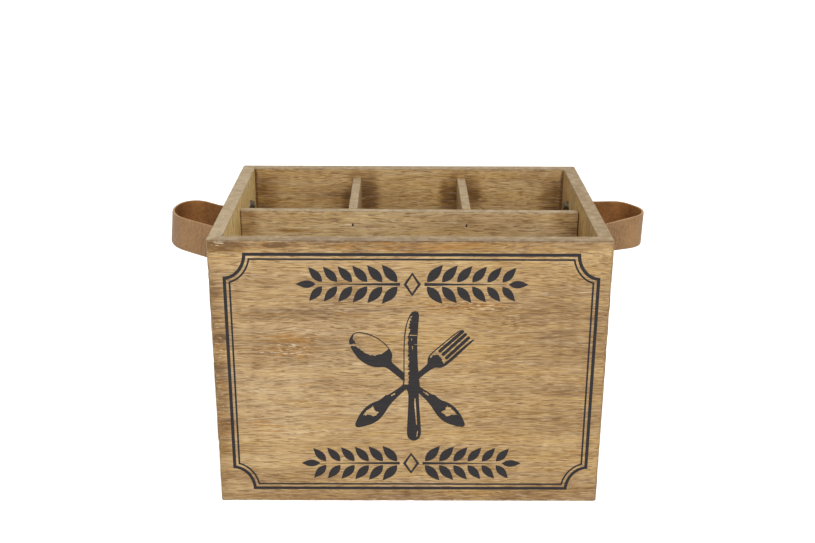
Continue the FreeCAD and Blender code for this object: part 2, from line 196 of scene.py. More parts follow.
def note(piece, name, values):
    """Keep a value at each point for the materials."""
    attribute = piece.data.attributes.new(name, "FLOAT", "POINT")
    attribute.data.foreach_set("value", np.array(values, np.float32))


def brad_middles(*nodes):
    """The middle of each separate brad of the nodes."""
    middles = []
    for node in nodes:
        groups = []
        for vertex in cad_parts[node].data.vertices:
            group = next((group for group in groups if (group[0] - vertex.co).length < BRAD_REACH), None)
            if group:
                group.append(vertex.co)
            else:
                groups.append([vertex.co])
        for group in groups:
            low = Vector(map(min, zip(*group)))
            high = Vector(map(max, zip(*group)))
            middles.append((low + high) / 2)
    return middles


def place_slots(brads, spin):
    """The slots' middles on a board before its turn, and the grid's cells that hold them, across and up."""
    slots = [(spot.x, spot.z) for spot in (spin.inverted() @ brad for brad in brads)]
    wide = SLOT_HALF_WIDTH + SLOT_MARGIN
    tall = SLOT_HALF_HEIGHT + SLOT_MARGIN
    across = [(place - wide, place + wide) for place, _ in slots]
    up = [(place - tall, place + tall) for _, place in slots]
    return slots, across, up


def build_board(node, placed, faces, dark, materials, arris):
    """A board's piece, with the distances of its points from the arrises kept for its wood."""
    indices = [0] * len(faces) + [1] * len(dark)
    piece = build_piece(f"{node}_board", placed, faces + dark, materials, indices)
    note(piece, "arris", np.minimum(arris, FAR_FROM_ARRIS))
    return piece


def make_wall(node, turn, seed, material, hole_material, brads):
    """A mitred wall. It is made as the front wall and turned round the upright axis by quarter turns."""
    low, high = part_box(node)
    spin = Matrix.Rotation(turn * math.pi / 2, 3, "Z")
    half, outer, _ = map(abs, spin.inverted() @ BOX_CORNER)
    thickness = abs((spin.inverted() @ (high - low)).y)
    height = high.z
    slots, across, up = place_slots(brads, spin)
    points, faces = block_skin(
        grid_lines(-half, half, BOARD_STEP, across),
        grid_lines(0, thickness, thickness / BOARD_LAYERS),
        grid_lines(0, height, BOARD_STEP, up),
    )
    points, faces, dark = cut_slots(points, faces, slots)
    along, depth, level = points.T
    along = along * (half - depth - MITRE_GAP) / half
    rim = np.minimum(np.maximum(depth, 0), np.maximum(thickness - depth, 0))
    ends = np.minimum(level, height - level)
    corner = half - np.abs(along)
    joint = np.maximum(depth, corner)
    # The side walls' outer corners are brought closer to the arris marks, which widens the painted shade and
    # the wear there; the front and back walls' corners are kept mostly free of them.
    joint = joint * DARK_CORNER if turn % 2 else joint + PALE_CORNER
    arris = np.minimum(np.maximum(rim, ends), joint)

    where = np.column_stack([along, depth, level])
    for side, radius in ((0, OUTER_ARRIS), (1, INNER_ARRIS)):
        gap = depth if side == 0 else thickness - depth
        eased_gap, eased_ends = ease(gap, ends, worn(where, radius, seed + side * 4))
        depth = eased_gap if side == 0 else thickness - eased_gap
        level = np.where(level < height / 2, eased_ends, height - eased_ends)
        ends = eased_ends
    eased_corner, depth = ease(corner, depth, worn(where, CORNER_EASE, seed + 9))
    along = np.sign(along) * (half - eased_corner)

    placed = np.column_stack([along, depth - outer, level]) @ np.array(spin).T
    piece = build_board(node, placed, faces, dark, [material, hole_material], arris)
    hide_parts(node)


DIVIDER_ARRIS = 0.75 * MM
DIVIDER_SLOPE = 1.1 * MM
DIVIDER_END_GAP = 0.9 * MM


def make_divider(node, turn, seed, material, hole_material, brads=(), slope=0.0, end_gap=0.0):
    """A divider board with worn top arrises, made along the first axis and turned by quarter turns."""
    low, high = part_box(node)
    spin = Matrix.Rotation(turn * math.pi / 2, 3, "Z")
    flat = [spin.inverted() @ corner for corner in (low, high)]
    first = Vector(map(min, zip(*flat)))
    last = Vector(map(max, zip(*flat)))
    slots, across, up = place_slots(brads, spin)
    points, faces = block_skin(
        grid_lines(first.x, last.x - end_gap, BOARD_STEP, across),
        grid_lines(first.y, last.y, (last.y - first.y) / BOARD_LAYERS),
        grid_lines(first.z, last.z, BOARD_STEP, up),
    )
    points, faces, dark = cut_slots(points, faces, slots)
    along, depth, level = points.T
    drop = last.z - level
    arris = np.maximum(np.minimum(depth - first.y, last.y - depth), drop)
    for side in (0, 1):
        gap = depth - first.y if side == 0 else last.y - depth
        eased_gap, drop = ease(gap, drop, worn(points, DIVIDER_ARRIS, seed + side * 4))
        depth = first.y + eased_gap if side == 0 else last.y - eased_gap
    rise = (last.z - drop - first.z) / (last.z - first.z)
    level = last.z - drop - slope * rise * (along - first.x) / (last.x - first.x)
    placed = np.column_stack([along, depth, level]) @ np.array(spin).T
    piece = build_board(node, placed, faces, dark, [material, hole_material], arris)
    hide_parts(node)


# Materials


def shade(red, green, blue):
    """A colour given as screen values from 0 to 255, as the light values that shaders take."""
    parts = [part / 255 for part in (red, green, blue)]
    light = [part / 12.92 if part < 0.04045 else ((part + 0.055) / 1.055) ** 2.4 for part in parts]
    return (*light, 1)


TEXTURE_SHIFT = (3.7, 1.9, 5.3)


class Graph:
    """A new material or world of nodes, with short calls for the nodes that are used here."""

    def __init__(self, name, kind=bpy.data.materials):
        self.owner = kind.new(name)
        self.owner.use_nodes = True
        self.tree = self.owner.node_tree
        self.tree.nodes.clear()

    def add(self, kind, inputs, **settings):
        node = self.tree.nodes.new(f"ShaderNode{kind}")
        for name, setting in settings.items():
            setattr(node, name, setting)
        for key, given in inputs.items():
            if isinstance(given, bpy.types.NodeSocket):
                self.tree.links.new(given, node.inputs[key])
            else:
                node.inputs[key].default_value = given
        return node

    def out(self, kind, inputs, output=0, **settings):
        """One output of a new node."""
        return self.add(kind, inputs, **settings).outputs[output]

    def math(self, operation, *given):
        return self.out("Math", dict(enumerate(given)), operation=operation)

    def span(self, given, low, high):
        """0 up to low, 1 from high, smooth between."""
        inputs = {0: given, 1: low, 2: high}
        return self.out("MapRange", inputs, interpolation_type="SMOOTHSTEP")

    def fade(self, given, low, high):
        """1 up to low, 0 from high, smooth between."""
        return self.math("SUBTRACT", 1.0, self.span(given, low, high))

    def tint(self, colour, amount, share, new):
        """The colour with a new one laid over it, by the amount times the share."""
        inputs = {0: self.math("MULTIPLY", amount, share), 6: colour, 7: new}
        return self.out("Mix", inputs, 2, data_type="RGBA")

    def place(self):
        return self.out("TexCoord", {}, "Object")

    def layer(self, place, along, across, seed, detail, roughness=0.55):
        """Noise with this many cells to the metre along the first axis and across it."""
        shift = [seed * step for step in TEXTURE_SHIFT]
        inputs = {"Vector": place, "Scale": (along, across, across), "Location": shift}
        return self.noise(self.out("Mapping", inputs), detail, roughness)

    def noise(self, place, detail, roughness=0.55):
        inputs = {"Vector": place, "Scale": 1.0, "Detail": detail, "Roughness": roughness}
        return self.out("TexNoise", inputs)

    def ramp(self, given, stops):
        node = self.add("ValToRGB", {0: given})
        ramp = node.color_ramp
        while len(ramp.elements) < len(stops):
            ramp.elements.new(0.5)
        for element, (place, colour) in zip(ramp.elements, stops):
            element.position = place
            element.color = colour
        return node.outputs[0]

    def weigh(self, base, *terms):
        """The base plus each value's distance from a half times its weight."""
        total = base
        for value, weight in terms:
            total = self.math("MULTIPLY_ADD", self.math("SUBTRACT", value, 0.5), weight, total)
        return total

    def bump(self, height, distance, strength):
        inputs = {"Height": height, "Distance": distance, "Strength": strength}
        return self.out("Bump", inputs)

    def finish(self, **sockets):
        """The surface shader with these inputs, as the material's output."""
        named = {name.replace("_", " "): given for name, given in sockets.items()}
        self.add("OutputMaterial", {"Surface": self.out("BsdfPrincipled", named)})
        return self.owner


WOOD_TONES = (
    (0.14, shade(112, 82, 52)),
    (0.32, shade(154, 120, 80)),
    (0.50, shade(184, 150, 106)),
    (0.66, shade(201, 169, 124)),
    (0.86, shade(220, 194, 154)),
    (1.00, shade(240, 216, 174)),
)
WOOD_HUE = 0.505
GREY_GRAIN = shade(142, 116, 92)
STAIN = shade(166, 117, 54)
CREAM = shade(232, 213, 182)
PORE = shade(112, 80, 48)
RUBBED = shade(210, 192, 164)
# Painted shade: the colour of the thin dark line along the arrises.
EDGE_SHADE = shade(84, 66, 50)
RIM_STOPS = ((0.34, shade(152, 130, 100)), (0.66, shade(197, 178, 147)))
PATCH_DEPTH = 6.5 * MM
PATCH_FADE = (0.35, 1.15)

# Layers of wood: cells to the metre along and across the grain, shift of the seed, detail and roughness.
SWAY = (9, 24, 0, 2, 0.55)
SHIVER = (60, 160, 1, 2, 0.55)
BLOTCH = (6, 16, 2, 3, 0.55)
FIBRES = (80, 1500, 3, 2, 0.6)
BANDS = (6, 75, 4, 3, 0.6)
FIGURE = (34, 600, 5, 2, 0.6)
RAGGED_SHADES = (30, 160, 6, 2, 0.6)
GREYING = (46, 900, 7, 2, 0.6)
STAINING = (30, 600, 8, 2, 0.6)
PALING = (75, 1150, 9, 2, 0.6)
PORES = (95, 1150, 10, 1, 0.6)
RAGGED_EDGES = (220, 420, 11, 3, 0.65)
COLOURING = (9, 220, 12, 3, 0.6)
SAW_MARKS = (130, 6, 13, 1, 0.55)
MOTTLE = (150, 150, 14, 4, 0.65)
SPECKS = (200, 1200, 15, 2, 0.6)
SWAY_REACH = 12 * MM
SHIVER_REACH = 0.9 * MM

# Streaks: the values at which each kind starts and shows in full, and its share of the colour there.
GREY_STREAKS = (0.53, 0.70, 0.55)
STAIN_STREAKS = (0.62, 0.80, 0.75)
CREAM_STREAKS = (0.58, 0.74, 0.32)
PORE_STREAKS = (0.57, 0.64, 0.62)
SPECK_STREAKS = (0.74, 0.84, 0.6)

# Wear along arrises and on rims, and a thin dark line of painted shade along arrises: how ragged it is,
# where it fades, and its share of the colour.
RUB_RAGGED = 6.5 * MM
RUB_FADE = (-0.2 * MM, 1.2 * MM)
RUB_HEIGHTS = (200 * MM, 216 * MM)
RUB_SHARE = 0.2
LOW_RUB_SHARE = 0.35
EDGE_RAGGED = -1.2 * MM
EDGE_FADE = (0.1 * MM, 0.85 * MM)
EDGE_SHADE_SHARE = 0.6
RIM_FACING = (0.7, 0.95)
RIM_HEIGHTS = (100 * MM, 150 * MM)
RIM_SHARE = 0.75
# How far a side wall's inner face must look the given way to take its painted light.
LIT_INNER_FACING = (0.5, 0.9)
GRAIN_RELIEF = 0.3 * MM


def wood(name, upright, seed, depth=0.0, rich=1.0, rim_tone=0.0, face=0.0, marks=(), inside=None):
    """Stained open-grained wood. Depth darkens all of it, rich makes it more colourful and rim_tone lightens
    the rims. Marks are up to three lists of patches of the face that lies this far back: tones of the wood
    with painted shade among them, stains, and flecks. Inside says which way along the first axis a side
    wall's inner face looks, and how much lighter and more colourful that face is painted, as painted light."""
    tones_and_shade, stains, flecks = list(marks) + [()] * (3 - len(marks))
    graph = Graph(name)
    box_place = graph.place()
    axes = graph.add("SeparateXYZ", {0: box_place}).outputs
    height_up = axes[2]
    place = box_place
    if upright:
        place = graph.out("CombineXYZ", {0: axes[2], 1: axes[1], 2: axes[0]})

    def layer(cells, where):
        """One of the layers of wood."""
        along, across, shift, detail, roughness = cells
        return graph.layer(where, along, across, seed + shift, detail, roughness)

    def patches(spots, start):
        """The start value and each soft elliptical patch times its strength."""
        total = start
        for *sizes, strength in spots:
            across, up, half_width, half_height = (size * MM for size in sizes)
            inputs = {
                "Vector": box_place,
                "Location": (-across / half_width, -face / PATCH_DEPTH, -up / half_height),
                "Scale": (1 / half_width, 1 / PATCH_DEPTH, 1 / half_height),
            }
            spot = graph.out("Mapping", inputs)
            far = graph.out("VectorMath", {0: spot}, "Value", operation="LENGTH")
            total = graph.math("MULTIPLY_ADD", graph.fade(far, *PATCH_FADE), strength, total)
        return total

    def streaks(colour, value, low, high, share, tint):
        """The colour with a tint where the value rises from low to high."""
        return graph.tint(colour, graph.span(value, low, high), share, tint)

    push = graph.weigh(0.0, (layer(SWAY, place), SWAY_REACH), (layer(SHIVER, place), SHIVER_REACH))
    offset = graph.out("CombineXYZ", {1: push, 2: push})
    grain = graph.out("VectorMath", {0: place, 1: offset}, operation="ADD")
    facing = graph.add("SeparateXYZ", {0: graph.out("NewGeometry", {}, "Normal")}).outputs

    blotch = layer(BLOTCH, place)
    fibres = layer(FIBRES, grain)
    tone = graph.weigh(
        0.5 - depth,
        (layer(BANDS, grain), 0.5),
        (layer(FIGURE, grain), 0.28),
        (fibres, 0.9),
        (blotch, 0.5),
        (layer(SAW_MARKS, place), 0.14),
    )
    # The tone patches, made ragged; they hold painted shade as well as tones of the wood.
    ragged_shade = graph.math("MULTIPLY", layer(RAGGED_SHADES, grain), 2.0)
    tone = graph.math("MULTIPLY_ADD", patches(tones_and_shade, 0.0), ragged_shade, tone)
    richness = graph.weigh(rich, (layer(COLOURING, grain), 0.35), (blotch, 0.35))
    # Painted light: the inner face of a side wall that looks the given way is made lighter and more
    # colourful.
    if inside:
        way, lighter, richer = inside
        inner = graph.span(graph.math("MULTIPLY", facing[0], way), *LIT_INNER_FACING)
        tone = graph.math("MULTIPLY_ADD", inner, lighter, tone)
        richness = graph.math("MULTIPLY_ADD", inner, richer, richness)
    inputs = {"Hue": WOOD_HUE, "Saturation": richness, "Color": graph.ramp(tone, WOOD_TONES)}
    colour = graph.out("HueSaturation", inputs)

    grey = graph.weigh(layer(GREYING, grain), (blotch, 0.3))
    colour = streaks(colour, grey, *GREY_STREAKS, GREY_GRAIN)
    stained = graph.math("ADD", layer(STAINING, grain), patches(stains, graph.weigh(0.0, (blotch, 0.3))))
    colour = streaks(colour, stained, *STAIN_STREAKS, STAIN)
    colour = streaks(colour, layer(PALING, grain), *CREAM_STREAKS, CREAM)
    torn = patches(flecks, 0.0)
    pores = graph.math("ADD", layer(PORES, grain), torn)
    colour = streaks(colour, pores, *PORE_STREAKS, PORE)
    specks = graph.math("MULTIPLY_ADD", torn, 2.0, layer(SPECKS, grain))
    colour = streaks(colour, specks, *SPECK_STREAKS, CREAM)

    arris = graph.out("Attribute", {}, "Fac", attribute_name="arris")
    ragged = layer(RAGGED_EDGES, place)
    rubbed = graph.fade(graph.weigh(arris, (ragged, RUB_RAGGED)), *RUB_FADE)
    low_down = graph.fade(height_up, *RUB_HEIGHTS)
    rub_share = graph.math("MULTIPLY_ADD", low_down, LOW_RUB_SHARE, RUB_SHARE)
    colour = graph.tint(colour, rubbed, rub_share, RUBBED)
    # Painted shade: a thin ragged dark line right at the arrises, over the pale wear.
    edge = graph.fade(graph.weigh(arris, (ragged, EDGE_RAGGED)), *EDGE_FADE)
    colour = graph.tint(colour, edge, EDGE_SHADE_SHARE, EDGE_SHADE)

    high_up = graph.math("MULTIPLY", graph.span(height_up, *RIM_HEIGHTS), RIM_SHARE)
    rim = graph.span(facing[2], *RIM_FACING)
    mottle = graph.math("ADD", layer(MOTTLE, box_place), rim_tone)
    colour = graph.tint(colour, rim, high_up, graph.ramp(mottle, RIM_STOPS))

    height = graph.weigh(0.5, (fibres, 0.6), (grey, -0.4), (pores, -0.6))
    return graph.finish(
        Base_Color=colour,
        Roughness=graph.weigh(0.68, (grey, -0.2), (fibres, 0.2)),
        Normal=graph.bump(height, GRAIN_RELIEF, 0.45),
        Specular_IOR_Level=0.25,
    )


BORE_CELLS = 900
# Painted shade: the near-black colours inside the brad slots.
BORE_SHADE_STOPS = ((0.3, shade(34, 24, 16)), (0.7, shade(78, 56, 36)))
BORE_RELIEF = 0.2 * MM


def bore_wood():
    """Torn wood inside a brad's slot, made nearly black as painted shade of the recess."""
    graph = Graph("bore_wood")
    place = graph.place()
    torn = graph.layer(place, BORE_CELLS, BORE_CELLS, 1, 3)
    colour = graph.ramp(torn, BORE_SHADE_STOPS)
    return graph.finish(Base_Color=colour, Roughness=0.9, Normal=graph.bump(torn, BORE_RELIEF, 0.5))


LEATHER_DARK = shade(126, 91, 56)
LEATHER_LIGHT = shade(160, 123, 83)
SUEDE_DARK = shade(104, 64, 27)
SUEDE_LIGHT = shade(150, 102, 55)
# Painted shade: the colour in the folds of the creases.
FOLD_SHADE = shade(96, 64, 36)
WRINKLES = 95
WRINKLE_SLANT = -0.16
WRINKLE_WANDER = 7.0
WRINKLE_BREAKS = (170, 170, 60)
WRINKLE_BROKEN = (0.34, 0.52)
FOLD_SPAN = (0.7, 1.0)
FOLD_SHADE_SHARE = 0.5
RIDGE_FADE = (0.0, 0.3)
RIDGE_HIGHLIGHT_SHARE = 0.35
CLOUDS = 45
NAP = 420
LEATHER_RELIEF = 0.25 * MM
CUT_DARK = shade(156, 118, 78)
CUT_LIGHT = shade(200, 164, 122)


def leather(name, dark, light, seed, pebble, grit, roughness):
    """Leather with pebbles and finer grit, given as counts to the metre, and fine upright creases with
    painted shade in their folds and a painted highlight on their ridges.
    """
    graph = Graph(name)
    place = graph.place()
    cells = graph.out("TexVoronoi", {"Vector": place, "Scale": pebble}, feature="SMOOTH_F1")
    fine = graph.layer(place, grit, grit, seed, 4, 0.6)
    cloud = graph.layer(place, CLOUDS, CLOUDS, seed + 1, 3)
    nap = graph.layer(place, NAP, NAP, seed + 2, 3, 0.6)
    tone = graph.weigh(0.5, (cloud, 0.9), (nap, 0.75), (fine, 0.55), (cells, -0.25))
    colour = graph.ramp(tone, ((0.25, dark), (0.75, light)))
    slanted = graph.out("Mapping", {"Vector": place, "Rotation": (0.0, WRINKLE_SLANT, 0.0)})
    inputs = {"Vector": slanted, "Scale": WRINKLES, "Distortion": WRINKLE_WANDER}
    inputs |= {"Detail": 2.0, "Detail Scale": 0.8}
    wrinkles = graph.out("TexWave", inputs, "Fac")
    creased = graph.out("Attribute", {}, "Fac", attribute_name="crease")
    breaks = graph.out("Mapping", {"Vector": place, "Scale": WRINKLE_BREAKS})
    broken = graph.span(graph.noise(breaks, 2), *WRINKLE_BROKEN)
    creased = graph.math("MULTIPLY", creased, broken)
    fold = graph.math("MULTIPLY", graph.span(wrinkles, *FOLD_SPAN), creased)
    ridge_highlight = graph.math("MULTIPLY", graph.fade(wrinkles, *RIDGE_FADE), creased)
    # Painted shade in the folds of the creases and a painted highlight on their ridges.
    colour = graph.tint(colour, fold, FOLD_SHADE_SHARE, FOLD_SHADE)
    colour = graph.tint(colour, ridge_highlight, RIDGE_HIGHLIGHT_SHARE, light)
    height = graph.math("MULTIPLY_ADD", fold, -0.9, graph.weigh(0.5, (cells, -0.8), (fine, 0.5)))
    return graph.finish(
        Base_Color=colour,
        Roughness=graph.weigh(roughness, (fine, 0.2), (cloud, 0.15)),
        Normal=graph.bump(height, LEATHER_RELIEF, 0.45),
        Specular_IOR_Level=0.3,
    )


INK_DARK = shade(34, 31, 32)
INK_LIGHT = shade(50, 46, 47)
INK_FIBRES = (40, 800)
INK_SPECKLE = (700, 1500)
INK_RELIEF = 0.2 * MM


def ink():
    """Charcoal ink that has sunk a little into the grain."""
    graph = Graph("ink")
    place = graph.place()
    fibres = graph.layer(place, *INK_FIBRES, 31, 3)
    speckle = graph.layer(place, *INK_SPECKLE, 32, 3)
    tone = graph.weigh(0.5, (fibres, 0.8), (speckle, 0.7))
    colour = graph.ramp(tone, ((0.3, INK_DARK), (0.75, INK_LIGHT)))
    return graph.finish(
        Base_Color=colour,
        Roughness=graph.weigh(0.72, (speckle, 0.2)),
        Normal=graph.bump(fibres, INK_RELIEF, 0.4),
        Specular_IOR_Level=0.25,
    )


SCRATCHES = (300, 2600)
TARNISH = (500, 500)
SCRATCH_RELIEF = 0.05 * MM


def steel(name, dark, light, roughness):
    """Dull plated steel with fine scratches and cloudy spots."""
    graph = Graph(name)
    place = graph.place()
    scratch = graph.layer(place, *SCRATCHES, 41, 3)
    cloud = graph.layer(place, *TARNISH, 42, 3)
    tone = graph.weigh(0.5, (scratch, 0.6), (cloud, 0.9))
    return graph.finish(
        Base_Color=graph.ramp(tone, ((0.25, dark), (0.75, light))),
        Metallic=1.0,
        Roughness=graph.weigh(roughness, (cloud, 0.3), (scratch, 0.15)),
        Normal=graph.bump(scratch, SCRATCH_RELIEF, 0.3),
    )


# Box

# Marks on the boards, in millimetres: where each is, across and up, its half sizes, and its strength. The
# first list of marks for the front, back and long divider holds tones of the wood and painted shade.
FRONT_TONES_AND_PAINTED_SHADE = (
    # Painted shade: a thin dark line along the top arris.
    (0, 220.3, 180, 1.4, -0.5),
    (-100, 58, 40, 26, 0.12),
    (0, 217, 180, 9, -0.19),
    (0, 2, 180, 11, -0.18),
    (-138, 215.5, 24, 5.5, -0.4),
    (-99, 216.5, 11, 2.6, -0.5),
    (-147, 110, 9, 110, -0.16),
    (-143, 142, 7, 4, -0.3),
    (-146, 116, 5, 5, -0.3),
    (-141, 70, 7, 4, -0.3),
    (-90, 161, 60, 7, -0.1),
    (-60, 149, 76, 7, 0.12),
    (-104, 101, 38, 16, 0.14),
    (140, 110, 120, 160, -0.085),
    (0, 90, 120, 40, 0.05),
)
FRONT_STAINS = (
    (0, 215, 110, 5, 0.14),
    (-145, 90, 8, 90, 0.12),
    (-93, 135, 34, 13, 0.2),
    (-85, 110, 60, 90, 0.06),
    (44, 168, 42, 7, 0.2),
    (-116, 62, 22, 16, 0.13),
)
FRONT_FLECKS = (
    (-141.5, 217.5, 7, 3, 0.13),
    (-93, 132, 30, 9, 0.1),
    (44, 168, 40, 6, 0.1),
    (-50, 150, 50, 6, 0.05),
    (-146, 110, 6, 90, 0.07),
    (120, 110, 60, 120, -0.035),
)
BACK_TONES_AND_PAINTED_SHADE = (
    # Darker places above the ends of the short dividers.
    (-47.5, 214, 9, 9, -0.2),
    (46.5, 214, 10, 9, -0.2),
    # Painted shade on each side of the short dividers.
    (-36, 195, 11, 30, -0.3),
    (-54, 190, 8, 25, -0.16),
    (37, 198, 12, 24, -0.28),
    (56, 198, 11, 22, -0.28),
    # Painted shade towards the inner corners.
    (-130, 190, 14, 30, -0.2),
    (130, 190, 14, 26, -0.24),
    # Paler and darker places in the wood.
    (90, 200, 30, 14, 0.08),
    (-70, 195, 40, 9, -0.12),
    (-95, 195, 40, 20, 0.08),
    # Painted shade: dark lines in the inner corners, this row and the last; between them a dark spot at the
    # top of the left corner.
    (-138.6, 195, 2, 40, -0.5),
    (-138.6, 214, 2.2, 4.5, -1.0),
    (138.5, 195, 2.4, 40, -0.4),
)
DIVIDER_TONES_AND_PAINTED_SHADE = (
    # Painted shade towards the ends, where the divider meets the walls.
    (-133, 197, 10, 30, -0.22),
    (130, 198, 16, 28, -0.25),
    # A dark scratch, a darker band under the top on the right, and a paler one on the left.
    (-96, 194.5, 22, 2.2, -0.4),
    (60, 200, 70, 6, -0.12),
    (-20, 205, 60, 5, 0.08),
    # Painted shade: dark lines at the ends, in the gaps against the walls.
    (-139, 195, 1.3, 40, -0.7),
    (139, 195, 1.2, 40, -0.4),
)
LEFT_SHADES = ((-141, 220, 4, 3, -1.2),)
bore = bore_wood()

front_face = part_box("front_panel")[0].y
front_marks = (FRONT_TONES_AND_PAINTED_SHADE, FRONT_STAINS, FRONT_FLECKS)
front_wood = wood("front_wood", False, 1, depth=0.025, rim_tone=-0.08, face=front_face, marks=front_marks)
make_wall("front_panel", 0, 1, front_wood, bore, [])
side_brads = brad_middles("corner_brads", "long_divider_brads")
right_brads = [spot for spot in side_brads if spot.x > 0]
left_brads = [spot for spot in side_brads if spot.x < 0]
# Painted light: a little on the right wall's inner face.
right_wood = wood("right_wood", True, 2, rim_tone=-0.08, inside=(-1, 0.13, 0.16))
make_wall("right_side_panel", 1, 2, right_wood, bore, right_brads)
rear_brads = brad_middles("short_divider_rear_brads")
back_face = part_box("back_panel")[0].y
back_wood = wood("back_wood", False, 3, 0.01, 1.06, -0.03, face=back_face, marks=[BACK_TONES_AND_PAINTED_SHADE])
make_wall("back_panel", 2, 3, back_wood, bore, rear_brads)
left_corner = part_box("front_panel")[1].y
# Painted light: much on the left wall's inner face, which looks towards the key lamp.
left_wood = wood(
    "left_wood", True, 4, rim_tone=0.11, face=left_corner, marks=[LEFT_SHADES], inside=(1, 0.5, 0.32)
)
make_wall("left_side_panel", 3, 4, left_wood, bore, left_brads)

long_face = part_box("long_divider")[0].y
long_wood = wood("long_divider_wood", False, 5, -0.16, 1.04, face=long_face, marks=[DIVIDER_TONES_AND_PAINTED_SHADE])
long_brads = brad_middles("short_divider_front_brads")
make_divider("long_divider", 0, 5, long_wood, bore, long_brads, DIVIDER_SLOPE, DIVIDER_END_GAP)
make_divider("left_short_divider", 1, 6, wood("left_divider_wood", True, 6), bore)
make_divider("right_short_divider", 1, 7, wood("right_divider_wood", True, 7), bore)


def dress(nodes, material):
    """Give carried-over pieces their finish."""
    for node in nodes:
        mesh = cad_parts[node].data
        mesh.materials.clear()
        mesh.materials.append(material)


dress(["base_panel"], wood("base_wood", False, 8))
zinc = steel("zinc", shade(78, 70, 58), shade(150, 140, 122), roughness=0.45)
dark_steel = steel("dark_steel", shade(40, 38, 36), shade(92, 88, 84), roughness=0.5)
fasteners = [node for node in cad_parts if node.endswith(("screws", "washers", "nuts"))]
dress(fasteners, zinc)
dress([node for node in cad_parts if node.endswith("brads")], dark_steel)


# Leather straps

STRAP_STEP = 1.2 * MM
LINE_STEP = 0.5 * MM
STRAP_EDGE = 0.7 * MM
TAB_CORNER = 4 * MM
SOFTNESS = 3.0 * MM
LOOP_REACH = 45 * MM
ROOT_BEND = 4 * MM
CREASE_PLACE = 14 * MM
CREASE_REACH = 9 * MM
BEND_POINTS = 13
STRAP_LAYERS = 2
STRAP_ROWS = 12
# Each strap lies between an upper and a lower loop. A loop, in millimetres, is where it leaves the wall in
# front and behind, and the place, radius and setback of its two outer bends. Last is how creased the strap
# is near its front root.
LOOPS = {
    "left": {
        "upper": {"front": -44.7, "rear": 19.3, "tip": (8.6, 35.3, -1.3), "shoulder": (18.8, 12.6, 0.7)},
        "lower": {"front": -51.3, "rear": 20, "tip": (7.8, 43, -3.5), "shoulder": (17.5, 13.5, -2.7)},
        "creases": 0.55,
    },
    "right": {
        "upper": {"front": -36.4, "rear": 35.2, "tip": (7.3, 20.3, 0.7), "shoulder": (21, 11.8, 8.2)},
        "lower": {"front": -30.3, "rear": 36, "tip": (0.9, 18.9, 2.6), "shoulder": (19.3, 13, 7.5)},
        "creases": 1.1,
    },
}


def tangent_run(first, second):
    """The straight run between two bends. A bend is its middle and a radius, minus for a right turn."""
    span = math.hypot(second[0] - first[0], second[1] - first[1])
    heading = math.atan2(second[1] - first[1], second[0] - first[0])
    heading -= math.asin((second[2] - first[2]) / span)
    across = np.array([-math.sin(heading), math.cos(heading)])
    return [np.array(bend[:2]) - bend[2] * across for bend in (first, second)]


def loop_line(loop, thickness, tab_end):
    """The band's middle line in plan, out from the wall and back, as evenly spaced points."""
    root = thickness / 2 + ROOT_BEND
    front, rear = loop["front"] * MM, loop["rear"] * MM
    bends = [(root, front, -ROOT_BEND)]
    for bend in (loop["tip"], loop["shoulder"]):
        back, radius, setback = (size * MM for size in bend)
        bends.append((LOOP_REACH - thickness / 2 - radius - setback, back, radius))
    bends.append((root, rear, -ROOT_BEND))
    runs = [[np.array([thickness / 2, -tab_end]), np.array([thickness / 2, front])]]
    runs += [tangent_run(first, second) for first, second in zip(bends, bends[1:])]
    runs.append([np.array([thickness / 2, rear]), np.array([thickness / 2, tab_end])])
    line = [runs[0][0]]
    for bend, before, after in zip(bends, runs, runs[1:]):
        middle = np.array(bend[:2])
        start = math.atan2(*(before[1] - middle)[::-1])
        end = math.atan2(*(after[0] - middle)[::-1])
        sweep = (end - start) % math.tau if bend[2] > 0 else -((start - end) % math.tau)
        for share in np.linspace(0, 1, BEND_POINTS):
            turn = start + sweep * share
            line.append(middle + abs(bend[2]) * np.array([math.cos(turn), math.sin(turn)]))
    line.append(runs[-1][1])
    return soften(even(np.array(line)))


def even(line):
    """The line in even steps."""
    lengths = np.concatenate([[0], np.cumsum(np.hypot(*np.diff(line, axis=0).T))])
    wanted = np.linspace(0, lengths[-1], round(lengths[-1] / LINE_STEP) + 1)
    return np.column_stack([np.interp(wanted, lengths, line[:, axis]) for axis in range(2)])


def soften(line):
    """Leather's easy bends: the line smoothed along its length."""
    reach = round(3 * SOFTNESS / LINE_STEP)
    weights = np.exp(-0.5 * (np.arange(-reach, reach + 1) * LINE_STEP / SOFTNESS) ** 2)
    weights /= weights.sum()
    padded = np.vstack([2 * line[0] - line[reach:0:-1], line, 2 * line[-1] - line[-2 : -reach - 2 : -1]])
    return even(np.column_stack([np.convolve(padded[:, axis], weights, "valid") for axis in range(2)]))


def round_corner(first, second, radius):
    """Turn a square corner into a round one: distances of points from its two sides go in and come out."""
    one = np.maximum(radius - first, 0)
    two = np.maximum(radius - second, 0)
    kept = np.maximum(one, two) / np.maximum(np.hypot(one, two), NEAR)
    inside = (one > 0) & (two > 0)
    pulled = np.where(inside, 1 - kept, 0)
    return first + one * pulled, second + two * pulled


def along_loop(line, shares):
    """Points at these shares of a loop's length, and the directions out of the loop there."""
    heading = np.gradient(line, axis=0)
    heading /= np.hypot(*heading.T)[:, None]
    outward = np.column_stack([heading[:, 1], -heading[:, 0]])
    places = np.linspace(0, 1, len(line))
    found = []
    for values in (line, outward):
        found.append(np.column_stack([np.interp(shares, places, part) for part in values.T]))
    return found


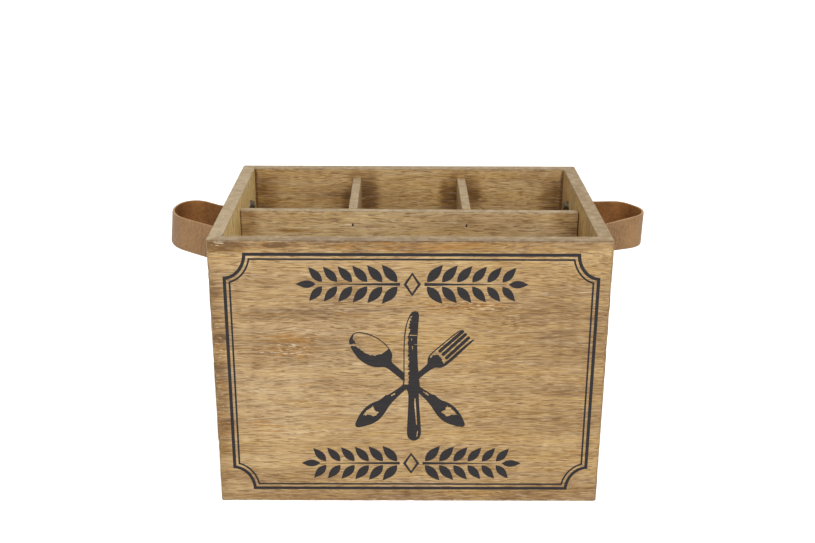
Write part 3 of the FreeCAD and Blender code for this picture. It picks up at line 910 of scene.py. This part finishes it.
def make_strap(side, materials):
    """A band with rounded tabs, cut edges and creases near its roots, bent along its loop."""
    node = f"{side}_handle_strap"
    low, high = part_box(node)
    sign = 1 if side == "right" else -1
    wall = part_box(f"{side}_side_panel")[1 if sign > 0 else 0].x * sign
    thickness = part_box(f"{side}_head_washers")[0 if sign > 0 else 1].x * sign - wall
    loops = [loop_line(LOOPS[side][level], thickness, high.y) for level in ("upper", "lower")]
    total = len(loops[0]) * LINE_STEP
    width = high.z - low.z

    points, faces = block_skin(
        grid_lines(0, total, STRAP_STEP),
        grid_lines(0, thickness, thickness / STRAP_LAYERS),
        grid_lines(0, width, width / STRAP_ROWS),
    )
    along, depth, level = points.T
    indices = []
    for depths in (depth[face] for face in faces):
        flat = depths.max() - depths.min() < NEAR
        indices.append((0 if depths.mean() > thickness / 2 else 1) if flat else 2)

    end, edge = np.minimum(along, total - along), np.minimum(level, width - level)
    end, edge = round_corner(end, edge, TAB_CORNER)
    along = np.where(along < total / 2, end, total - end)
    level = np.where(level < width / 2, edge, width - edge)
    border = np.minimum(end, edge)
    skin = np.minimum(depth, thickness - depth)
    eased, _ = ease(skin, border, worn(points, STRAP_EDGE, 3))
    depth = np.where(depth < thickness / 2, eased, thickness - eased)

    (upper, upper_out), (lower, lower_out) = [along_loop(loop, along / total) for loop in loops]
    height = (level / width)[:, None]
    spots = lower + (upper - lower) * height
    normals = lower_out + (upper_out - lower_out) * height
    plan = spots + normals * (depth - thickness / 2)[:, None]
    placed = np.column_stack([sign * (wall + plan[:, 0]), plan[:, 1], low.z + level])
    if sign > 0:
        faces = [face[::-1] for face in faces]
    piece = build_piece(f"{node}_leather", placed, faces, materials, indices)
    creased = np.exp(-(((spots[:, 0] - CREASE_PLACE) / CREASE_REACH) ** 2)) * (spots[:, 1] < 0)
    note(piece, "crease", creased * LOOPS[side]["creases"])
    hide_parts(node)


strap_materials = [
    leather("leather_face", LEATHER_DARK, LEATHER_LIGHT, seed=11, pebble=1400, grit=2600, roughness=0.55),
    leather("leather_back", SUEDE_DARK, SUEDE_LIGHT, seed=13, pebble=2600, grit=1700, roughness=0.9),
    leather("leather_cut", CUT_DARK, CUT_LIGHT, seed=15, pebble=2000, grit=2200, roughness=0.8),
]
for side in LOOPS:
    make_strap(side, strap_materials)


# Printed front

FILM = 0.06 * MM
FORK_FILM = 1.2 * FILM
BARS_FILM = 1.6 * FILM
KNIFE_FILM = 1.4 * FILM
FILM_SUNK = 0.02 * MM
FRAME_MIDDLE = np.array([1.0, 110.5]) * MM
FRAME_HALF = np.array([140.0, 99.9]) * MM
FRAME_NOTCH = np.array([15.4, 19.0]) * MM
FRAME_LINE = 2.5 * MM
INNER_INSET = 4.3 * MM
INNER_LINE = 1.4 * MM
CURVE_STEPS = 6
ARC_STEPS = 12

# Cutlery, in millimetres: stations along each axis with half widths, and where the axis lies on the front.
HANDLE = [
    (60, 2.3), (70, 2.4), (79, 3.0), (84.5, 4.0), (89, 5.3), (94.5, 6.9), (100, 7.4), (105.5, 6.5),
    (111, 4.2), (115, 2.0),
]
STEPPED = [
    (60, 2.3), (70, 2.5), (76, 3.2), (79.4, 3.7), (81, 4.7), (85, 4.6), (88, 5.0), (91, 6.1), (95.5, 7.2),
    (101.5, 7.2), (107, 6.0), (112, 4.0), (115.3, 2.2),
]
UTENSIL_LENGTH = 116.6
BOWL_TIP = [(0.5, 0)]
BOWL = [
    (0.8, 2.0), (2.7, 4.8), (5.9, 7.2), (10.7, 9.3), (16.2, 10.8), (21.8, 11.2), (27.1, 10.7), (31.2, 9.5),
    (34.5, 7.6),
]
BOWL_UNDER = [
    (1.0, 3.1), (2.3, 5.7), (4.6, 7.6), (8, 9.3), (12.2, 10.8), (18, 11.8), (23.7, 11.5), (28.3, 10.2),
    (32.8, 7.5), (35.4, 4.7),
]
BOWL_NECK = [(37.3, 3.6), (40, 3.0), (46, 2.8)]
BOWL_SHINE_END = (28.6, 9.6)
BOWL_TEAR = [
    (28.2, 5.4), (27.1, 2.0), (25, -1.6), (20.8, -4.0), (16.4, -5.1), (12.2, -4.9), (8.8, -5.3),
    (6.0, -8.0), (4.6, -7.0), (7.2, -4.2), (3.2, -2.3), (1.5, -1.6),
]
SPOON_AXIS = np.array([(-43.9, 145.4), (42.1, 67.6)]) * MM
SPOON_CUT = [(50.6, 2.8), (55.6, -2.8)]
SPOON_HANDLE_START = 63
FORK_AXIS = np.array([(44.3, 145.4), (-40.7, 67.5)]) * MM
NECK = [(40, 2.8), (46, 2.3)]
NEAR_SHOULDER = [(20, 7.8), (25.6, 7.9), (31.2, 7.6), (34.7, 6.0), (37, 3.7)]
FAR_SHOULDER = [(20, 7.7), (30.5, 7.5), (34.8, 6.6), (36.8, 5.4), (38.2, 3.9)]
FORK_CUT = [(63.3, 2.3), (59.1, -2.3)]
FORK_HANDLE_START = 64.5
NEAR_TINE = [(30, 5.6), (22.9, 5.4), (12, 4.9), (2, 5.1), (0.0, 5.7), (0.4, 6.4), (8, 6.9)]
FAR_TINE = [(8, -7.7), (3.6, -7.2), (1.2, -6.1), (8, -6.7), (20, -6.8), (30, -6.6), (33.6, -6.1)]
FORK_TEAR = [
    (34.4, -5.2), (32.6, -4.9), (30.5, -4.6), (29, -3.9), (28.2, -1.7), (27.8, 0.4), (28.4, 2.3),
    (30.8, 4.7),
]
BARS = ((-4.9, -4.3), (-1.6, -0.6), (2.1, 3.3))
BAR_HALF = 1.3
BAR_ENDS = (0.6, 26.4)
SHINE_RIM = 0.8
TEAR_STEP = 0.9
TEAR_SIZE = 0.6
BLADE_TEAR_SIZE = 1.1
KNIFE = [
    (4.2, 164.6), (6.7, 161.9), (6.2, 151.1), (5.6, 137.2), (6.3, 119.2), (7.6, 105.3), (7.8, 100.3),
    (7.1, 93.4), (8.1, 77.4), (9.0, 64.5), (8.9, 60), (7.0, 56.1), (3.6, 54.6), (0.0, 56.1), (-1.8, 60.5),
    (-1.5, 73.4), (-0.9, 91.4), (-1.8, 98.1), (-5.2, 102.3), (-4.7, 108.3), (-4.8, 123.2), (-4.7, 137.2),
    (-3.5, 151.1), (0.2, 162.1),
]
KNIFE_SHINE = [
    (1.6, 160.6), (-0.2, 159.1), (-2.4, 152.1), (-3.8, 139.2), (-4.0, 121.2), (-3.8, 108.3), (-4.2, 103.3),
]
KNIFE_TEAR = [(-1.2, 103.3), (-1.0, 121.2), (-1.4, 141.2), (0.0, 155.1)]
KNIFE_NICKS = [
    [(-0.2, 145), (5.4, 144.8), (5.4, 144.2), (-0.2, 144.3)], [(2.2, 137.2), (5.3, 137.2), (5.3, 136.6)],
    [(0.8, 142), (1.6, 142), (1.4, 139.6)], [(1.5, 135.8), (2.4, 135.6), (2.2, 131.8)],
]
HANDLE_SHINE = [
    (3.8, 91.7), (3.7, 86.4), (4.5, 77.4), (5.2, 69.4), (5.9, 69.4), (5.4, 78.4), (4.8, 87.4), (4.6, 91.4),
]
END_SHINE = [(6.1, 63.3), (6.8, 63.3), (6.2, 58.3), (5.4, 58.5)]
WINDOW = [(94.2, 4.5), (100, 4.7), (105.8, 3.7), (102, 1.0), (100.6, -2.6), (95, -2.9), (95.8, 0.6)]
SLIT = [(72, 1.2), (77.6, 2.0), (77.8, 0.5), (74.5, 0.7)]

# Sprigs above and below the cutlery
SPRIG_MIDDLES = np.array([(1.5, 185.8), (1.5, 34.4)]) * MM
LOZENGE_HALF = np.array([6.5, 9.5]) * MM
LOZENGE_LINE = 2.4 * MM
STEM_START = 9 * MM
STEM_END = 70 * MM
STEM_HALF = 1.2 * MM
LEAF_PAIRS = 6
LEAF_FIRST = 11 * MM
LEAF_PITCH = 11.2 * MM
LEAF_LENGTH = 18 * MM
LEAF_WIDTH = 7.4 * MM
LEAF_TURN = math.radians(50)
LEAF_TAPER = 0.03
LEAF_BELLY = 0.85
LEAF_GAP = 1.7 * MM


def frame_loop(inset):
    """The frame's outline this far inside its outer edge: a rectangle with hollow round corners."""
    wide, tall = FRAME_NOTCH + inset
    turns = np.linspace(math.asin(inset / tall), math.acos(inset / wide), ARC_STEPS)
    hollow = FRAME_HALF - np.column_stack([wide * np.cos(turns), tall * np.sin(turns)])
    corners = [hollow[::-1], hollow * (-1, 1), hollow[::-1] * (-1, -1), hollow * (1, -1)]
    return FRAME_MIDDLE + np.vstack(corners)


def smooth_line(points):
    """A smooth line through the points, from the first to the last."""
    points = np.array(points, float)
    padded = np.vstack([2 * points[0] - points[1], points, 2 * points[-1] - points[-2]])
    shares = np.linspace(0, 1, CURVE_STEPS, endpoint=False)[:, None]
    runs = []
    for before, start, end, after in zip(padded, padded[1:], padded[2:], padded[3:]):
        first, last = (end - before) / 2, (after - start) / 2
        bend = 3 * (end - start) - 2 * first - last
        twist = 2 * (start - end) + first + last
        runs.append(start + first * shares + bend * shares**2 + twist * shares**3)
    return np.vstack(runs + [points[-1:]])


def torn_line(start, end, seed, size):
    """A ragged line between two points, as where ink has come away."""
    start, end = np.array(start, float), np.array(end, float)
    length = math.dist(start, end)
    shares = np.linspace(0, 1, max(3, round(length / TEAR_STEP)))[:, None]
    side = np.array([start[1] - end[1], end[0] - start[0]]) / length
    tears = np.random.default_rng(seed).uniform(-size, size, shares.shape)
    return start + (end - start) * shares + side * tears * np.sin(math.pi * shares) ** 0.3


def other_side(line):
    """The line mirrored in its axis and turned back."""
    return line[::-1] * (1, -1)


def arc(middle, radius, start, end):
    turns = np.linspace(start, end, ARC_STEPS)
    return np.array(middle) + radius * np.column_stack([np.cos(turns), np.sin(turns)])


def on_axis(loop, axis):
    """A loop given in millimetres along an axis and to its left, laid on the front."""
    heading = axis[1] - axis[0]
    heading = heading / np.hypot(*heading)
    left = np.array([-heading[1], heading[0]])
    return axis[0] + (loop[:, :1] * heading + loop[:, 1:] * left) * MM


def torn_run(points, seed, size=TEAR_SIZE):
    """Ragged lines from point to point."""
    pairs = enumerate(zip(points, points[1:]))
    return np.vstack([torn_line(start, end, seed + index, size)[:-1] for index, (start, end) in pairs])


def handle_shines(side, seed):
    """The bare places in a handle, on one side of its axis."""
    return [torn_run(loop + loop[:1], seed) * (1, side) for loop in (WINDOW, SLIT)]


def handle_loop(side, start):
    """A handle from this far along its axis to its end, with its step on one side of the axis."""
    stepped, plain = [
        smooth_line([(start, half[0][1])] + half[1:] + [(UTENSIL_LENGTH, 0)]) for half in (STEPPED, HANDLE)
    ]
    return np.vstack([stepped, other_side(plain)[1:]]) * (1, side)


def spoon_loops():
    """The bowl down to the knife's near edge, and the handle from behind the knife."""
    bowl, under = [smooth_line(BOWL_TIP + half + BOWL_NECK) for half in (BOWL, BOWL_UNDER)]
    head = np.vstack([bowl, SPOON_CUT, other_side(under)[:-1]])
    upper = [(along + SHINE_RIM / 2, half - SHINE_RIM) for along, half in BOWL[:7]] + [BOWL_SHINE_END]
    shine = np.vstack([smooth_line(upper), torn_run(BOWL_TEAR, 71)])
    return [head, shine, handle_loop(1, SPOON_HANDLE_START)] + handle_shines(1, 73)


def fork_loops():
    """The body with its near tine and thin far edge down to the knife, and the handle from behind it."""
    near_half, far_half = [smooth_line(half + NECK) for half in (NEAR_SHOULDER, FAR_SHOULDER)]
    far, near = smooth_line(FAR_TINE), smooth_line(NEAR_TINE)
    body = np.vstack([other_side(far_half), far, torn_run(FORK_TEAR, 75), near, near_half, FORK_CUT])
    return [body, handle_loop(-1, FORK_HANDLE_START)] + handle_shines(-1, 77)


def bar_loops():
    """The dark bars of the fork's inner tines."""
    loops = []
    for places in BARS:
        ends = []
        for along, across, turn in zip(BAR_ENDS, places, (math.pi / 2, -math.pi / 2)):
            middle = along + math.copysign(BAR_HALF, turn)
            ends.append(arc((middle, across), BAR_HALF, turn, turn + math.pi))
        loops.append(np.vstack(ends))
    return loops


def knife_loops():
    outline = smooth_line(KNIFE + KNIFE[:1])[:-1]
    tear = torn_run(KNIFE_TEAR + KNIFE_SHINE[:1], 79, BLADE_TEAR_SIZE)
    shine = np.vstack([smooth_line(KNIFE_SHINE), tear])
    nicks = [np.array(nick) for nick in KNIFE_NICKS + [END_SHINE]]
    return [loop * MM for loop in [outline, shine, smooth_line(HANDLE_SHINE)] + nicks]


def leaf(root, turn, length, width):
    shares = np.linspace(0, 1, ARC_STEPS)
    half = np.column_stack([length * shares, width / 2 * np.sin(math.pi * shares**LEAF_BELLY)]) / MM
    heading = np.array([math.cos(turn), math.sin(turn)])
    return on_axis(np.vstack([half, other_side(half)[1:-1]]), np.array([root, root + heading]))


def lozenge(middle, half):
    return middle + half * np.array([(1, 0), (0, 1), (-1, 0), (0, -1)])


def sprig_loops(middle):
    """A lozenge with a leafy stem to each side of it."""
    loops = [lozenge(middle, LOZENGE_HALF), lozenge(middle, LOZENGE_HALF - LOZENGE_LINE)]
    for side in (-1, 1):
        stem = np.array([(STEM_START, STEM_HALF), (STEM_END, 0), (STEM_START, -STEM_HALF)])
        loops.append(middle + stem * (side, 1))
        sprays = [(STEM_END + LEAF_GAP, 0.0, 0, 1 - LEAF_TAPER * LEAF_PAIRS)]
        for index in range(LEAF_PAIRS):
            for lean in (-1, 1):
                size = 1 - LEAF_TAPER * index
                sprays.append((LEAF_FIRST + index * LEAF_PITCH, lean * LEAF_GAP, lean * LEAF_TURN, size))
        for along, up, turn, size in sprays:
            loops.append(leaf(np.array([along, up]), turn, LEAF_LENGTH * size, LEAF_WIDTH * size))
            loops[-1] = middle + loops[-1] * (side, 1)
    return loops


def print_shape(name, loops, film=FILM):
    """A film of ink on the front: filled loops, where a loop inside another is left bare."""
    curve = bpy.data.curves.new(name, "CURVE")
    curve.dimensions = "2D"
    curve.fill_mode = "BOTH"
    curve.extrude = film / 2
    for loop in loops:
        spline = curve.splines.new("POLY")
        spline.points.add(len(loop) - 1)
        for point, (across, up) in zip(spline.points, loop):
            point.co = (across, up, 0, 1)
        spline.use_cyclic_u = True
    drawing = bpy.data.objects.new(name, curve)
    mesh = bpy.data.meshes.new_from_object(drawing)
    bpy.data.objects.remove(drawing)
    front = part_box("front_panel")[0].y
    upright = Matrix.Rotation(math.pi / 2, 4, "X")
    mesh.transform(Matrix.Translation((0, front - film / 2 + FILM_SUNK, 0)) @ upright)
    mesh.materials.clear()
    mesh.materials.append(ink_material)
    piece = put(name, mesh)
    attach(piece, BODY)


ink_material = ink()
print_shape("print_outer_line", [frame_loop(0), frame_loop(FRAME_LINE)])
print_shape("print_inner_line", [frame_loop(INNER_INSET), frame_loop(INNER_INSET + INNER_LINE)])
for name, middle in zip(("upper", "lower"), SPRIG_MIDDLES):
    print_shape(f"print_{name}_sprig", sprig_loops(middle))
print_shape("print_spoon", [on_axis(loop, SPOON_AXIS) for loop in spoon_loops()])
print_shape("print_fork", [on_axis(loop, FORK_AXIS) for loop in fork_loops()], FORK_FILM)
print_shape("print_fork_bars", [on_axis(loop, FORK_AXIS) for loop in bar_loops()], BARS_FILM)
print_shape("print_knife", knife_loops(), KNIFE_FILM)


# Light, floor and camera

WHITE = (1, 1, 1, 1)
WORLD_LEVEL = 0.55
FLOOR_HALF = 9.0
SQUARE = ((-1, -1), (1, -1), (1, 1), (-1, 1))
FLOOR_GLOW = 0.75
FLOOR_CELLS = 3
FLOOR_STOPS = ((0.3, shade(228, 228, 228)), (0.7, shade(234, 234, 234)))
KEY_PLACE = (0.7, -1.6, 1.9)
KEY_SIZE = 1.3
KEY_POWER = 27
FILL_PLACE = (-0.8, -2.1, 1.0)
FILL_SIZE = 1.4
FILL_POWER = 13
LIGHT_AIM = (0.0, 0.0, 0.12)
CAMERA_PLACE = (-0.005624, -0.876127, 0.484153)
CAMERA_AIM = (-0.001564, 0.0, 0.156787)
CAMERA_ROLL = math.radians(0.268)
CAMERA_LENS = 49.206
CAMERA_SENSOR = 36
CAMERA_NEAR = 0.01


def seen_directly(graph):
    """1 for rays from the camera, mirrors and glass, and 0 for light that falls on surfaces."""
    rays = graph.add("LightPath", {}).outputs
    seen = rays["Is Camera Ray"]
    for name in ("Is Glossy Ray", "Is Transmission Ray"):
        seen = graph.math("MAXIMUM", seen, rays[name])
    return seen


def make_world():
    graph = Graph("studio", bpy.data.worlds)
    inputs = {"Value": seen_directly(graph), "To Min": WORLD_LEVEL, "To Max": 1.0}
    level = graph.out("MapRange", inputs)
    background = graph.out("Background", {"Color": WHITE, "Strength": level})
    graph.add("OutputWorld", {0: background})
    bpy.context.scene.world = graph.owner


def make_floor():
    graph = Graph("pale_floor")
    place = graph.place()
    mottle = graph.layer(place, FLOOR_CELLS, FLOOR_CELLS, 51, 2)
    colour = graph.ramp(mottle, FLOOR_STOPS)
    glow = graph.math("MULTIPLY", seen_directly(graph), FLOOR_GLOW)
    graph.finish(
        Base_Color=colour,
        Roughness=0.9,
        Specular_IOR_Level=0.0,
        Emission_Color=WHITE,
        Emission_Strength=glow,
    )
    mesh = bpy.data.meshes.new("floor")
    corners = [(across * FLOOR_HALF, back * FLOOR_HALF, 0) for across, back in SQUARE]
    mesh.from_pydata(corners, [], [(0, 1, 2, 3)])
    mesh.materials.append(graph.owner)
    floor = put("floor", mesh)


def aim(holder, place, target, roll=0.0):
    """Put a lamp or camera at a place, looking at the target."""
    holder.location = place
    holder.rotation_mode = "QUATERNION"
    turn = (Vector(target) - Vector(place)).to_track_quat("-Z", "Y")
    holder.rotation_quaternion = turn @ Quaternion((0, 0, 1), roll)


def make_lamp(name, place, size, power):
    lamp = bpy.data.lights.new(name, "AREA")
    lamp.shape = "DISK"
    lamp.size = size
    lamp.energy = power
    aim(put(name, lamp), place, LIGHT_AIM)


def make_camera():
    data = bpy.data.cameras.new("camera")
    data.sensor_width = CAMERA_SENSOR
    data.lens = CAMERA_LENS
    data.clip_start = CAMERA_NEAR
    camera = put("camera", data)
    aim(camera, CAMERA_PLACE, CAMERA_AIM, CAMERA_ROLL)
    bpy.context.scene.camera = camera


make_world()
make_floor()
make_lamp("key", KEY_PLACE, KEY_SIZE, KEY_POWER)
make_lamp("fill", FILL_PLACE, FILL_SIZE, FILL_POWER)
make_camera()
bpy.context.scene.view_settings.view_transform = "Standard"
